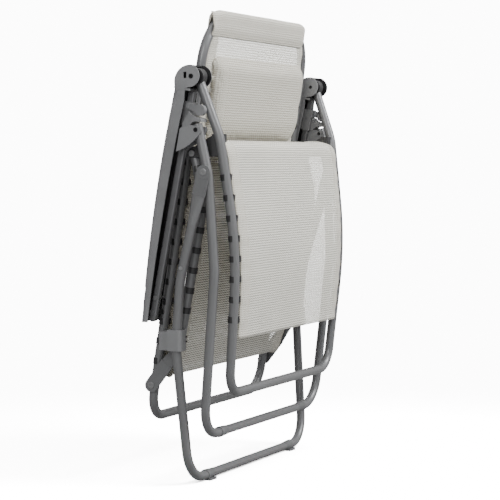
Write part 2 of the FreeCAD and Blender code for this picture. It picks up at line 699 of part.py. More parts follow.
# ---- sliding clamps and their locking levers ---------------------------------------------------------------
def fork_plate(x_near, x_far):
    """A quarter round plate that hangs from the clamp beside the front leg."""
    heel, tip, middle, toe, toe_top, top = [
        V(-x_far, *rod_frame_point(a, b)) for a, b in FORK_OUTLINE
    ]
    edges = [
        Part.LineSegment(heel, tip).toShape(),
        Part.Arc(tip, middle, toe).toShape(),
        Part.LineSegment(toe, toe_top).toShape(),
        Part.LineSegment(toe_top, top).toShape(),
        Part.LineSegment(top, heel).toShape(),
    ]
    return Part.Face(Part.Wire(edges)).extrude(V(x_far - x_near, 0, 0))


def leg_top_space(x_low, x_high):
    """Room between the fork plates for the top of the front leg, over its whole travel."""
    radius = math.hypot(TUBE_R, LEG_TOP_REACH) + 0.6
    top = SLIDER
    base = rod_frame_point(0.0, 0.0)
    lower = rod_frame_point(-SLIDER_STRAY, 0.0)
    low = (top[0] + lower[0] - base[0], top[1] + lower[1] - base[1])
    offset = -math.dist(top, base)
    half = radius - 0.4
    slab = rod_block(-SLIDER_STRAY, 0.0, offset - half, offset + half, x_low, x_high)
    for centre in (top, low):
        slab = slab.fuse(x_cylinder(centre, radius, x_low, x_high))
    return slab


def slider_clamp():
    """Housing that slides on the rod, with a saddle and a fork for the top of the front leg."""
    outer = -CLAMP_X[1]
    inner = -CLAMP_X[0]
    body = rod_block(*HOUSING, outer, inner)
    long_edges = [edge for edge in body.Edges if abs(edge.tangentAt(0).x) < 0.1 and edge.Length > 30]
    body = body.makeFillet(3.0, long_edges)
    rim = rod_block(*HOUSING_RIM, outer - 1.0, inner)
    rim = rim.makeFillet(3.0, [edge for edge in rim.Edges if abs(edge.tangentAt(0).x) > 0.9])
    saddle_x = (-FORK_OUTER[0] - 1.5, -FORK_INNER[0] + 1.5)
    saddle = x_plate([rod_frame_point(a, b) for a, b in SADDLE_OUTLINE], *saddle_x)
    cheek = x_plate([rod_frame_point(a, b) for a, b in CHEEK_OUTLINE], -FORK_OUTER[0] - 1, outer + 1)
    clamp = body.fuse(rim).fuse(saddle).fuse(cheek)
    clamp = clamp.fuse(fork_plate(*FORK_OUTER)).fuse(fork_plate(*FORK_INNER))
    swing = leg_top_space(-FORK_OUTER[0], -FORK_INNER[1])
    screw = x_cylinder(SLIDER, PIN_R, -360, -280)
    return clamp.cut(swing).cut(rod_solid(CLAMP_GAP)).cut(screw).removeSplitter()


def clamp_screw():
    """The two ends of the screw across the fork, in its plates."""
    shank = x_cylinder(SLIDER, PIN_R, -FORK_OUTER[1], -FORK_OUTER[0])
    inner_end = x_cylinder(SLIDER, PIN_R, -FORK_INNER[1], -FORK_INNER[0])
    head = x_cylinder(SLIDER, 4.6, -FORK_OUTER[1] - 1.2, -FORK_OUTER[1])
    socket = x_cylinder(SLIDER, 2.2, -FORK_OUTER[1] - 2.0, -FORK_OUTER[1] + 0.4)
    return Part.makeCompound([shank.fuse(head).cut(socket), inner_end])


def lever_pin():
    """Pin of the locking lever, on the side of the clamp."""
    pivot = rod_frame_point(*LEVER_PIVOT)
    return x_cylinder(pivot, LEVER_PIN_R, -CLAMP_X[1] - 1.5 - LEVER_T, -CLAMP_X[1] - 1.0)


def lock_lever():
    """Flat lever with a round thumb lobe that locks the clamp on the rod."""
    x_high = -CLAMP_X[1] - 1.4
    x_low = x_high - LEVER_T
    pivot = rod_frame_point(*LEVER_PIVOT)
    lobe_centre = rod_frame_point(*LEVER_LOBE)
    strap = x_plate([rod_frame_point(a, b) for a, b in LEVER_OUTLINE], x_low, x_high)
    lever = strap.fuse(x_cylinder(pivot, 6.0, x_low, x_high))
    lobe = x_cylinder(lobe_centre, LEVER_R, x_low - 0.6, -321.5)
    hole = x_cylinder(pivot, LEVER_PIN_R + RUN, x_low - 5, x_high + 5)
    return lever.fuse(lobe).cut(hole).removeSplitter()


# ---- clips that hold the sling to the tubes -------------------------------------------------------------------
def tube_clip(centre, direction, lift, gap):
    """A hook round the far side of the tube, with a tab that reaches inboard to the sling's edge."""
    direction = direction.normalize()
    reach = TUBE_R + CLIP_T
    start = centre - direction * (CLIP_L / 2)
    ring = Part.makeCylinder(reach, CLIP_L, start, direction)
    front_y = CLIP_OPEN if lift > 0 else -CLIP_OPEN - 2 * reach
    corner = centre + V(-2 * reach + 4.0, front_y, -1.5 * CLIP_L)
    opening = Part.makeBox(2 * reach, 2 * reach, 3 * CLIP_L, corner)
    tab_y = max(-TUBE_R + 1.0, min(TUBE_R - 1.0, lift)) - SHEET_T / 2
    tab = Part.makeBox(gap - 5.0, SHEET_T, CLIP_L, centre + V(4.5, tab_y, -CLIP_L / 2))
    return ring.cut(opening).fuse(tab)


def points_on(points, radii, spacing):
    """Points along a rounded path, close together."""
    return rounded_path(points, radii).discretize(Distance=spacing)


def at_height(curve, z):
    """The point of a finely divided rising curve at height z, and its direction there."""
    for low, high in zip(curve, curve[1:]):
        if low.z <= z <= high.z:
            share = (z - low.z) / (high.z - low.z)
            return low + (high - low) * share, high - low
    raise ValueError("the curve doesn't reach this height")


def clip_row(points, radii, z_range, lift, gap):
    """Evenly pitched clips on a side tube."""
    curve = points_on(points, radii, 4.0)
    bar = round_bar(points, radii, TUBE_R)
    low_z, high_z = z_range
    clips = []
    for index in range(int((high_z - low_z) / CLIP_PITCH) + 1):
        centre, direction = at_height(curve, low_z + index * CLIP_PITCH)
        clips.append(tube_clip(centre, direction, lift, gap).cut(bar))
    return clips


# ---- sling and pillow ---------------------------------------------------------------------------------------
def band(points, lift, half_width, low_z, high_z, gap=HEM_GAP):
    """A slab that follows a side view line, moved by lift along Y, cut to the frame's taper."""
    front = [V(-400, y + lift - SHEET_T / 2, z) for y, z in points]
    back = [V(-400, y + lift + SHEET_T / 2, z) for y, z in reversed(points)]
    outline = front + back
    slab = Part.Face(Part.makePolygon(outline + [outline[0]])).extrude(V(800, 0, 0))
    low_w = half_width(low_z) - gap
    high_w = half_width(high_z) - gap
    corners = [V(-low_w, -300, low_z), V(low_w, -300, low_z)]
    corners += [V(high_w, -300, high_z), V(-high_w, -300, high_z)]
    prism = Part.Face(Part.makePolygon(corners + [corners[0]])).extrude(V(0, 600, 0))
    return slab.common(prism)


def sling_legrest():
    curve = points_on(legrest_points(), LEGREST_BENDS, 20.0)
    line = [(point.y, point.z) for point in curve if point.z < LEGREST[2][1]]
    return band(line, -LEGREST_LIFT, legrest_x, *LEGREST_SLING_Z, LEGREST_HEM_GAP)


def sling_seat():
    line = [(58.0 - SLING_LIFT, 215.0), (28.0, 290.0), (-28.0, 590.0), KNEE]
    return band(line, SLING_LIFT, lambda z: SEAT_X, *SEAT_SLING_Z)


def sling_back():
    line = [(back_y(200.0), 200.0), (back_y(960.0), 960.0)]
    return band(line, -SLING_LIFT, lambda z: -back_point(-1, z).x, *BACK_SLING_Z)


def sling_pocket():
    """The sling's hem at the top: it wraps the top bar front and back."""
    lean = (BACK_TOP[0] - BACK_BOTTOM[0]) / (BACK_TOP[1] - BACK_BOTTOM[1])
    inner = TUBE_R + POCKET_SLACK
    outer = inner + SHEET_T - 0.5
    layers = []
    for reach in (outer, inner):
        disc = x_cylinder(BACK_TOP, reach, -POCKET_HALF_W, POCKET_HALF_W)
        drop = BACK_TOP[1] - POCKET_Z + (0 if reach == outer else 5)
        foot = BACK_TOP[0] - lean * drop
        outline = [
            (BACK_TOP[0] - reach, BACK_TOP[1]), (foot - reach, BACK_TOP[1] - drop),
            (foot + reach, BACK_TOP[1] - drop), (BACK_TOP[0] + reach, BACK_TOP[1]),
        ]
        layers.append(disc.fuse(x_plate(outline, -POCKET_HALF_W, POCKET_HALF_W)))
    return layers[0].cut(layers[1])


def headrest_pillow():
    """Soft pad strapped over the sling below the pocket."""
    y_top = back_y(PILLOW_Z[1]) - SLING_LIFT - SHEET_T
    y_low = back_y(PILLOW_Z[0]) - SLING_LIFT - SHEET_T
    outline = [
        (y_low, PILLOW_Z[0]), (y_top, PILLOW_Z[1]),
        (y_top - PILLOW_T, PILLOW_Z[1]), (y_low - PILLOW_T, PILLOW_Z[0]),
    ]
    pad = x_plate(outline, -PILLOW_HALF_W, PILLOW_HALF_W)
    return pad.makeFillet(PILLOW_T * 0.4, [edge for edge in pad.Edges if edge.Length > 100])


# ---- the assembly ---------------------------------------------------------------------------------------------
def both_sides(name, shape):
    return {name + "_left": shape, name + "_right": mirrored(shape)}


def pair(solids):
    """Solids of both sides in one compound, for small fasteners that share a node."""
    return Part.makeCompound(solids + [mirrored(solid) for solid in solids])


def assembly():
    front_y, front_z = FRONT_LEG[0]
    nodes = {}
    nodes.update(both_sides("rear_foot", foot_sleeve(0, FOOT_R, True)))
    nodes.update(both_sides("rear_leg", rear_leg()))
    nodes["rear_crossbar"] = crossbar(0, FOOT_R)
    nodes.update(both_sides("leg_collar", leg_collar()))
    nodes["collar_screws"] = pair(collar_screws())
    nodes["leg_pivot_pins"] = pair([leg_pivot_pin()])
    nodes["apex_rivets"] = pair([apex_rivet()])
    nodes["leg_buttons"] = pair([leg_button()])
    nodes.update(both_sides("front_leg", front_leg()))
    nodes["front_crossbar"] = crossbar(front_y, front_z)
    nodes["front_feet"] = pair([foot_sleeve(front_y, front_z, False)])
    nodes.update(both_sides("seat_tube", seat_tube()))
    nodes["hip_rivets"] = pair([hip_rivet()])
    nodes["backrest_bottom_loop"] = back_bottom()
    nodes["backrest_top_loop"] = back_top()
    nodes.update(both_sides("backrest_side", back_side()))
    nodes["armrest_brackets"] = pair([arm_bracket()])
    nodes.update(both_sides("legrest_side", legrest_side()))
    nodes["legrest_bottom_loop"] = legrest_bottom()
    nodes.update(both_sides("legrest_end", end_disc()))
    nodes.update(both_sides("knee_bracket", knee_bracket()))
    nodes["knee_pins"] = pair([knee_pin()])
    nodes.update(both_sides("armrest_shell", armrest_shell()))
    nodes.update(both_sides("armrest_rod", armrest_rod()))
    nodes.update(both_sides("armrest_screw", armrest_screw()))
    nodes.update(both_sides("rod_rivet", rod_rivet()))
    nodes.update(both_sides("slider_clamp", slider_clamp()))
    nodes.update(both_sides("clamp_screw", clamp_screw()))
    nodes.update(both_sides("lever_pin", lever_pin()))
    nodes.update(both_sides("lock_lever", lock_lever()))
    back_row = clip_row(back_points(), [], BACK_CLIP_Z, -SLING_LIFT, HEM_GAP)
    nodes["backrest_clips"] = pair(back_row)
    seat_row = clip_row(seat_points(), SEAT_BENDS, SEAT_CLIP_Z, SLING_LIFT, HEM_GAP)
    nodes["seat_clips"] = pair(seat_row)
    row = clip_row(legrest_points(), LEGREST_BENDS, LEGREST_CLIP_Z, -LEGREST_LIFT, LEGREST_HEM_GAP)
    nodes["legrest_clips"] = pair(row)
    nodes["sling_backrest"] = sling_back()
    nodes["sling_pocket"] = sling_pocket()
    nodes["sling_seat"] = sling_seat()
    nodes["sling_legrest"] = sling_legrest()
    nodes["headrest_pillow"] = headrest_pillow()
    return nodes


def main():
    os.makedirs("parts", exist_ok=True)
    for name, shape in assembly().items():
        if not shape.isValid() or not shape.Solids:
            raise ValueError(name + " is not a valid solid")
        shape.exportStep(os.path.join("parts", name + ".step"))


main()
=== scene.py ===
"""Looks of the folded zero gravity recliner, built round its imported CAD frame.

Metres, in the CAD frame: +X across the chair, -Y its front, +Z up. The sling is two sheets, each
bending over one fold, with a hem pocket round the top bar and a padded headrest pillow.
"""
import json
import math

import bpy
import numpy as np
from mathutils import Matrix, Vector, noise


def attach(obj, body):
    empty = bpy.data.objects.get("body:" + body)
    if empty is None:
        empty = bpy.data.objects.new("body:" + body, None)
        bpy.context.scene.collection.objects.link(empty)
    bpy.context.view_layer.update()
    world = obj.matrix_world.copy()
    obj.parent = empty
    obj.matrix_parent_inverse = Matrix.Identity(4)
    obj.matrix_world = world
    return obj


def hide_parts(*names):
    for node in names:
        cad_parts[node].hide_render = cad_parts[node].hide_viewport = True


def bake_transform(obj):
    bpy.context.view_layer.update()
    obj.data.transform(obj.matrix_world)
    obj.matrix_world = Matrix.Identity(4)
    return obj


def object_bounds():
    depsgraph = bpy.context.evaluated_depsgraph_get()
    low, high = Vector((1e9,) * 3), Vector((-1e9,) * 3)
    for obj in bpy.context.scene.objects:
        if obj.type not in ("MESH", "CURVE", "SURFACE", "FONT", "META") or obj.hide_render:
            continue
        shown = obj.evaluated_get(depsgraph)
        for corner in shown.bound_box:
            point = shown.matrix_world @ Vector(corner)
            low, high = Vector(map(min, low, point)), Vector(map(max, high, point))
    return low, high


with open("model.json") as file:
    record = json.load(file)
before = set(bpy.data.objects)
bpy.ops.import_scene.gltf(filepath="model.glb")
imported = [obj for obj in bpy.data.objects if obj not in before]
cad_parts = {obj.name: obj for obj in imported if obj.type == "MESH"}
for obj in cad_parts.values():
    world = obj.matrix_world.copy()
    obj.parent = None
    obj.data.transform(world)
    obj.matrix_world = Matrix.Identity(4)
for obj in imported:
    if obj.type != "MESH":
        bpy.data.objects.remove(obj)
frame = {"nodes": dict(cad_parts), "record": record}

CAD_LOW, CAD_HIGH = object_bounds()

# lines of the frame's tubes as (y, z), and how far they stand to the side as (x, z), as in the CAD
BACK_LOW, BACK_TOP = (0.104, 0.134), (-0.0254, 0.981)
BACK_SIDE = [(0.277, 0.134), (0.261, 0.985)]
BACK_TOP_R = 0.055       # the top bar's rounded corners
TOP_BAR_HALF = 0.261
LEGREST_LINE = [(-0.077, 0.193), (-0.1035, 0.490), (-0.072, 0.728)]
LEGREST_CURVE = (0.391, 0.589)   # heights between which its corner is a long curve
LEGREST_SIDE = [(0.269, 0.193), (0.312, 0.850)]
SEAT_LINE = [(0.0515, 0.215), (0.028, 0.290), (-0.028, 0.590), (-0.008, 0.693)]
SEAT_SIDE = 0.2895

LIFT = 0.0065            # from a tube's centre line to the sling
LEGREST_LIFT = 0.012
HEM_GAP = 0.016          # from a tube's centre line to the sling's edge
LEGREST_HEM_GAP = 0.011
CLIP_PITCH = 0.042
CLIP_FIRST = {"backrest": 0.256, "legrest": 0.350}   # heights of the lowest clips


def clamp(value):
    return min(1.0, max(0.0, value))


# ---- materials ------------------------------------------------------------------------------------
RIB = 0.0052             # pitch of the mesh's ribs
WARP = 0.0026            # pitch of its yarns
SWAY = 0.0104            # pitch at which the ribs waver from side to side
DOT_PITCH = (0.0052, 0.0043)     # of the dots where two layers lie together, across and along
# the darker roll along a hem's edge is painted shade
HEM_ROLL = 0.009         # width of the darker roll along a hem's edge
ARM_X = 0.31475          # middle of an armrest
ARM_CHANNEL = 0.0281     # half the width of the channel under it
PAD_SEAM = 0.189         # where the pillow's end layers are sewn on, from its middle
GREY = (0.150, 0.152, 0.156)
BLACK = (0.022, 0.022, 0.023)
CREAM = (0.76, 0.75, 0.68)
# the same mesh as the sling's cream, made darker for the pillow: painted shade
SHADED_PAD_CREAM = (0.64, 0.63, 0.56)
SHADE = (0.36, 0.325, 0.265)


class Graph:
    """The nodes of a material or world, with short ways to add more."""

    def __init__(self, owner):
        owner.use_nodes = True
        self.owner = owner
        self.tree = owner.node_tree
        self.shader = self.tree.nodes.get("Principled BSDF")

    def node(self, kind, **settings):
        made = self.tree.nodes.new("ShaderNode" + kind)
        for key, value in settings.items():
            setattr(made, key, value)
        return made

    def put(self, socket, value):
        if isinstance(value, bpy.types.NodeSocket):
            self.tree.links.new(value, socket)
        else:
            socket.default_value = value

    def math(self, operation, a, b=0.0):
        made = self.node("Math", operation=operation)
        self.put(made.inputs[0], a)
        self.put(made.inputs[1], b)
        return made.outputs[0]

    def mix(self, share, a, b):
        made = self.node("Mix", data_type="RGBA")
        self.put(made.inputs[0], share)
        self.put(made.inputs[6], a)
        self.put(made.inputs[7], b)
        return made.outputs[2]

    def noise(self, coords, scale, detail=2.0):
        made = self.node("TexNoise")
        self.put(made.inputs["Vector"], coords)
        made.inputs["Scale"].default_value = scale
        made.inputs["Detail"].default_value = detail
        return made.outputs["Fac"]

    def ramp(self, value, low, high):
        """Rises smoothly from 0 at low to 1 at high."""
        made = self.node("MapRange", interpolation_type="SMOOTHSTEP")
        self.put(made.inputs["Value"], value)
        made.inputs["From Min"].default_value = low
        made.inputs["From Max"].default_value = high
        return made.outputs["Result"]

    def bump(self, height, strength, distance):
        made = self.node("Bump")
        made.inputs["Strength"].default_value = strength
        made.inputs["Distance"].default_value = distance
        self.put(made.inputs["Height"], height)
        return made.outputs["Normal"]

    def object_coords(self):
        return self.node("TexCoord").outputs["Object"]

    def xyz(self, vector):
        made = self.node("SeparateXYZ")
        self.put(made.inputs[0], vector)
        return made.outputs

    def wave(self, value, pitch, phase=0.0):
        """0 to 1 and back, once every pitch metres."""
        turns = self.math("MULTIPLY", value, 2 * math.pi / pitch)
        swing = self.math("SINE", self.math("ADD", turns, phase))
        return self.math("ADD", self.math("MULTIPLY", swing, 0.5), 0.5)


def material_graph(name):
    return Graph(bpy.data.materials.new(name))


def grey(value):
    return (value, value, value, 1.0)


def shade(colour, factor):
    return tuple(min(1.0, c * factor) for c in colour) + (1.0,)


def hard_finish(name, colour, roughness, grain, depth, metallic=0.0, coat=0.0, worn=1.3, mottle=1.0):
    """Painted metal or moulded plastic: fine grain, cloudy colour, edges rubbed lighter.

    grain is the noise scale of its bumps and depth their height; worn is how much lighter the edges
    are, and mottle how uneven the colour is.
    """
    g = material_graph(name)
    coords = g.object_coords()
    cloudy = g.ramp(g.noise(coords, 14.0, 4.0), 0.35, 0.65)
    base = g.mix(cloudy, shade(colour, 1 - 0.07 * mottle), shade(colour, 1 + 0.06 * mottle))
    dust = g.ramp(g.noise(coords, 60.0, 5.0), 0.60, 0.76)
    base = g.mix(g.math("MULTIPLY", dust, 0.06 * mottle), base, shade(colour, 1.5))
    edge = g.ramp(g.node("NewGeometry").outputs["Pointiness"], 0.53, 0.62)
    base = g.mix(g.math("MULTIPLY", edge, 0.6), base, shade(colour, worn))
    g.put(g.shader.inputs["Base Color"], base)
    rough = g.math("MULTIPLY", g.noise(coords, 40.0, 3.0), 0.08 * mottle)
    g.put(g.shader.inputs["Roughness"], g.math("ADD", rough, roughness - 0.04 * mottle))
    g.put(g.shader.inputs["Normal"], g.bump(g.noise(coords, grain, 3.0), 0.4, depth))
    g.shader.inputs["Metallic"].default_value = metallic
    g.shader.inputs["Coat Weight"].default_value = coat
    g.shader.inputs["Coat Roughness"].default_value = 0.25
    return g


def armrest_finish(name, colour, channel_shade):
    """Moulded grey plastic with painted shade in its channel, told by place and by the rest normal."""
    g = hard_finish(name, colour, 0.5, 1500.0, 0.0002)
    base = g.shader.inputs["Base Color"].links[0].from_socket
    coords = g.node("TexCoord")
    sideways = g.math("ABSOLUTE", g.xyz(coords.outputs["Object"])[0])
    off_centre = g.math("ABSOLUTE", g.math("SUBTRACT", sideways, ARM_X))
    within = g.math("LESS_THAN", off_centre, ARM_CHANNEL)
    forward = g.math("LESS_THAN", g.xyz(coords.outputs["Normal"])[1], 0.3)
    # painted shade: faces within the channel, picked by place and normal, take the dark colour where shade
    # falls
    dark = g.math("MULTIPLY", within, forward)
    g.put(g.shader.inputs["Base Color"], g.mix(dark, base, shade(channel_shade, 1.0)))
    return g


def attribute(g, name):
    return g.node("Attribute", attribute_name=name).outputs["Fac"]


def mesh_cloth(name, light, painted_shade, see_through, zone, edge=None, depth=0.4):
    """Open woven mesh: ribs across the sheet with finer yarns along it, and gaps between them, painted
    darker as shade.

    zone(g) is 1 where a second layer lies behind the first, which closes the gaps and shows as
    coarse dots, darkened with painted shade. edge(g) is the distance from a folded hem's outer
    edge, along which a band is darkened with painted shade. depth is how much darker, in painted
    shade, the gaps are in a single layer than in a double one. The second colour is this painted shade.
    """
    g = material_graph(name)
    coords = g.node("TexCoord")
    across, along = g.xyz(coords.outputs["UV"])[:2]
    soft = g.noise(coords.outputs["Object"], 55.0, 3.0)
    drift = g.math("MULTIPLY", g.math("SUBTRACT", soft, 0.5), RIB * 0.35)
    sway = g.math("MULTIPLY", g.math("SUBTRACT", g.wave(across, SWAY), 0.5), RIB * 0.28)
    along = g.math("ADD", g.math("ADD", along, drift), sway)
    ribs = g.ramp(g.wave(along, RIB), 0.10, 0.75)
    yarns = g.wave(g.math("ADD", across, g.math("MULTIPLY", along, 0.25)), WARP)
    thin = g.math("ADD", g.math("MULTIPLY", yarns, 0.6), 0.4)
    open_gap = g.math("MULTIPLY", g.math("SUBTRACT", 1.0, ribs), thin)
    double = zone(g)
    single = g.math("SUBTRACT", 1.0, double)
    dots = g.math("MULTIPLY", g.wave(across, DOT_PITCH[0], 0.6), g.wave(along, DOT_PITCH[1], 1.1))
    # painted shade: the gaps of a single layer and the coarse dots of a double one are darkened towards
    # the shade colour; the dots are the real pattern of two layers, their darkness is painted shade
    coarse = g.math("MULTIPLY", g.ramp(dots, 0.30, 0.75), g.math("MULTIPLY", double, 0.95))
    gaps = g.math("MULTIPLY", open_gap, g.math("ADD", g.math("MULTIPLY", single, depth), 0.4))
    deeper = g.math("ADD", coarse, g.math("MULTIPLY", double, 0.14))
    dark = g.math("MINIMUM", g.math("ADD", gaps, deeper), 1.0)
    cloud = g.ramp(g.noise(coords.outputs["Object"], 7.0, 3.0), 0.3, 0.7)
    yarn = g.mix(cloud, shade(light, 0.96), shade(light, 1.03))
    fibre = g.noise(coords.outputs["Object"], 900.0, 2.0)
    yarn = g.mix(g.math("MULTIPLY", fibre, 0.12), yarn, shade(light, 0.7))
    base = g.mix(dark, yarn, shade(painted_shade, 1.0))
    if edge:
        # painted shade: a band along the hem's rolled edge is darkened towards the shade colour
        rolled = g.math("SUBTRACT", 1.0, g.ramp(edge(g), 0.0, HEM_ROLL))
        base = g.mix(g.math("MULTIPLY", rolled, 0.45), base, shade(painted_shade, 1.0))
    g.put(g.shader.inputs["Base Color"], base)
    height = g.math("ADD", ribs, g.math("MULTIPLY", yarns, 0.35))
    g.put(g.shader.inputs["Normal"], g.bump(height, 0.6, 0.0006))
    g.shader.inputs["Roughness"].default_value = 0.82
    g.shader.inputs["Specular IOR Level"].default_value = 0.25
    g.shader.inputs["Sheen Weight"].default_value = 0.08
    if see_through:
        hole = g.math("MULTIPLY", g.ramp(open_gap, 0.25, 0.8), g.math("MULTIPLY", single, see_through))
        g.put(g.shader.inputs["Alpha"], g.math("SUBTRACT", 1.0, hole))
    return g


def pad_sides(g):
    """1 over the double layer at the two ends of the pillow."""
    sideways = g.math("ABSOLUTE", g.xyz(g.object_coords())[0])
    return g.ramp(sideways, PAD_SEAM - 0.0015, PAD_SEAM + 0.0015)


def thread_finish(name, colour):
    """Sewing thread, in light and dark flecks as twisted thread is."""
    g = material_graph(name)
    coords = g.object_coords()
    twist = g.ramp(g.noise(coords, 1400.0, 2.0), 0.35, 0.65)
    g.put(g.shader.inputs["Base Color"], g.mix(twist, shade(colour, 0.8), shade(colour, 1.1)))
    g.put(g.shader.inputs["Normal"], g.bump(g.noise(coords, 1800.0, 2.0), 0.4, 0.0002))
    g.shader.inputs["Roughness"].default_value = 0.7
    return g


FINISHES = {
    "frame_steel": hard_finish(
        "frame_steel", GREY, 0.38, 900.0, 0.00001, metallic=0.3, coat=0.2, worn=1.0, mottle=0.35),
    # the armrest's second colour is the painted shade in its channel
    "armrest_plastic": armrest_finish("armrest_plastic", (0.17, 0.172, 0.176), (0.012, 0.012, 0.013)),
    "clamp_plastic": hard_finish("clamp_plastic", GREY, 0.46, 1300.0, 0.0002),
    # black plastic; model.json also gives this finish to the knee bracket, where the black is painted
    # shade
    "dark_plastic": hard_finish("dark_plastic", BLACK, 0.5, 1300.0, 0.0002),
    "clip_plastic": hard_finish("clip_plastic", BLACK, 0.32, 1300.0, 0.0002),
    "foot_plastic": hard_finish("foot_plastic", (0.11, 0.112, 0.115), 0.55, 1100.0, 0.0003, worn=1.6),
    "rivet_steel": hard_finish("rivet_steel", (0.24, 0.242, 0.246), 0.30, 900.0, 0.00002, metallic=0.5),
    "screw_steel": hard_finish("screw_steel", (0.012, 0.012, 0.013), 0.38, 900.0, 0.0001, metallic=0.6),
    "sling_mesh": mesh_cloth(
        "sling_mesh", CREAM, SHADE, 0.52,
        zone=lambda g: attribute(g, "double"), edge=lambda g: attribute(g, "inset")),
    # the pillow's mesh takes a darker copy of the sling's cream, as painted shade
    "pillow_mesh": mesh_cloth("pillow_mesh", SHADED_PAD_CREAM, SHADE, 0.0, pad_sides, depth=1.0),
}
THREAD = thread_finish("sewing_thread", (0.62, 0.60, 0.54))


def paint(obj, graph):
    obj.data.materials.clear()
    obj.data.materials.append(graph.owner)


for row in frame["record"]["subparts"]:
    paint(frame["nodes"][row["node"]], FINISHES[row["material_slot"]])


# ---- sheets -----------------------------------------------------------------------------------------
SHEET_T = 0.0013
SHEET_STEP = 0.006       # between rows of the sheet's grid
SEAT_JOIN = 0.672        # where the two sheets of the sling are sewn together
HEM = 0.0345             # width of the folded hem
HEM_ROUND = 0.006        # over which its edge rolls up
HEM_T = 0.0013           # how far it stands off the sheet
SEAM_INSET = 0.0330      # where it is sewn down, in a ridge
RIDGE_T = 0.0009
RIDGE_W = 0.0016
HEM_END = 0.0375         # where it has closed down to the sheet
SEAM_LIFT = 0.0028       # from the sheet's line to the stitches
TUCK = 0.0035            # how far the sheet's edges come back towards the tubes
EDGE_REACH = 0.012       # how far in the tuck and the scallops of the edge reach
RIPPLE = 0.0012          # height of the ripple between clips, and depth of the scallops
RIPPLE_REACH = 0.045
FINE_SAG = 0.0004


def on_line(points, z):
    """The first coordinate, at height z, of a broken line of (y, z) or (x, z) points."""
    for low, high in zip(points, points[1:]):
        if z <= high[1]:
            break
    return low[0] + (high[0] - low[0]) * (z - low[1]) / (high[1] - low[1])


def back_width(z):
    """Half width of the backrest's sling, whose hem lies closer to the tubes higher up."""
    return on_line(BACK_SIDE, z) - HEM_GAP + 0.0045 * clamp((z - 0.42) / 0.22)


def legrest_width(z):
    """Half width of the legrest's sling, whose hem comes over the tubes higher up."""
    return on_line(LEGREST_SIDE, z) - LEGREST_HEM_GAP + 0.0035 * clamp((z - 0.40) / 0.20)


def smooth_line(points, step):
    """A line resampled every step metres after its corners are rounded off."""
    points = [np.array(p, float) for p in points]
    for _ in range(3):
        rounded = [points[0]]
        for a, b in zip(points, points[1:]):
            rounded += [a * 0.75 + b * 0.25, a * 0.25 + b * 0.75]
        points = rounded + [points[-1]]
    points = np.array(points)
    travelled = np.concatenate([[0], np.cumsum(np.linalg.norm(np.diff(points, axis=0), axis=1))])
    count = max(2, int(round(travelled[-1] / step)))
    places = np.linspace(0, travelled[-1], count + 1)
    line = np.stack([np.interp(places, travelled, points[:, k]) for k in range(2)], axis=1)
    return line, places


def columns(half):
    """Distances from the centre, close together at the hems."""
    edge = [0.0, 0.0012, 0.0035, 0.008, 0.016, 0.026, 0.031, 0.0325, 0.0338, 0.0352, 0.037, 0.042]
    side = [half - e for e in edge] + list(np.linspace(half - 0.055, 0, 20))
    return [-v for v in side] + side[-2::-1]


def hem_height(inset):
    """How far the folded hem stands off the sheet: a rolled edge, a flat and a sewn ridge."""
    if inset > HEM_END:
        return 0.0
    rolled = HEM_T * (1 - (1 - min(1.0, inset / HEM_ROUND)) ** 2)
    ridge = RIDGE_T * math.exp(-((inset - SEAM_INSET) / RIDGE_W) ** 2)
    closing = min(1.0, (HEM_END - inset) / 0.003)
    return (rolled + ridge) * closing


def new_piece(name, verts, faces, uvs=None, values=None):
    """A mesh object; values are named floats, one for each vertex."""
    mesh = bpy.data.meshes.new(name)
    mesh.from_pydata(verts, [], faces)
    if uvs:
        layer = mesh.uv_layers.new(name="weave")
        for loop in mesh.loops:
            layer.data[loop.index].uv = uvs[loop.vertex_index]
    for key, row in (values or {}).items():
        mesh.attributes.new(key, "FLOAT", "POINT").data.foreach_set("value", row)
    mesh.shade_smooth()
    obj = bpy.data.objects.new(name, mesh)
    bpy.context.scene.collection.objects.link(obj)
    return obj


def grid_faces(rows, wide):
    faces = []
    for r in range(rows - 1):
        for c in range(wide - 1):
            a = r * wide + c
            faces.append((a, a + 1, a + wide + 1, a + wide))
    return faces


def bake(obj):
    """Applies the object's modifiers to its mesh."""
    graph = bpy.context.evaluated_depsgraph_get()
    made = bpy.data.meshes.new_from_object(obj.evaluated_get(graph))
    old = obj.data
    obj.modifiers.clear()
    obj.data = made
    bpy.data.meshes.remove(old)
    made.name = obj.name


def thicken(obj, thickness):
    solid = obj.modifiers.new("thickness", "SOLIDIFY")
    solid.thickness = thickness
    solid.offset = 0.0
    bake(obj)


def clip_pull(first, z):
    """1 at a clip and 0 between two of them, where first is the height of the lowest."""
    return 0.5 + 0.5 * math.cos(2 * math.pi * (z - first) / CLIP_PITCH)


def sheet_lift(x, along, inset, tight, sag, seed):
    """How far a point of the sheet stands off its line, towards the side that is sat on."""
    near = math.exp(-inset / RIPPLE_REACH)
    wave = noise.noise(Vector((x * 3.2, along * 3.6, seed)))
    fine = noise.noise(Vector((x * 11.0, along * 9.0, seed + 7)))
    lift = hem_height(inset) + RIPPLE * near * (tight - 0.5)
    lift += (sag * wave + FINE_SAG * fine) * (1 - near)
    return lift - TUCK * math.exp(-(inset / EDGE_REACH) ** 2)


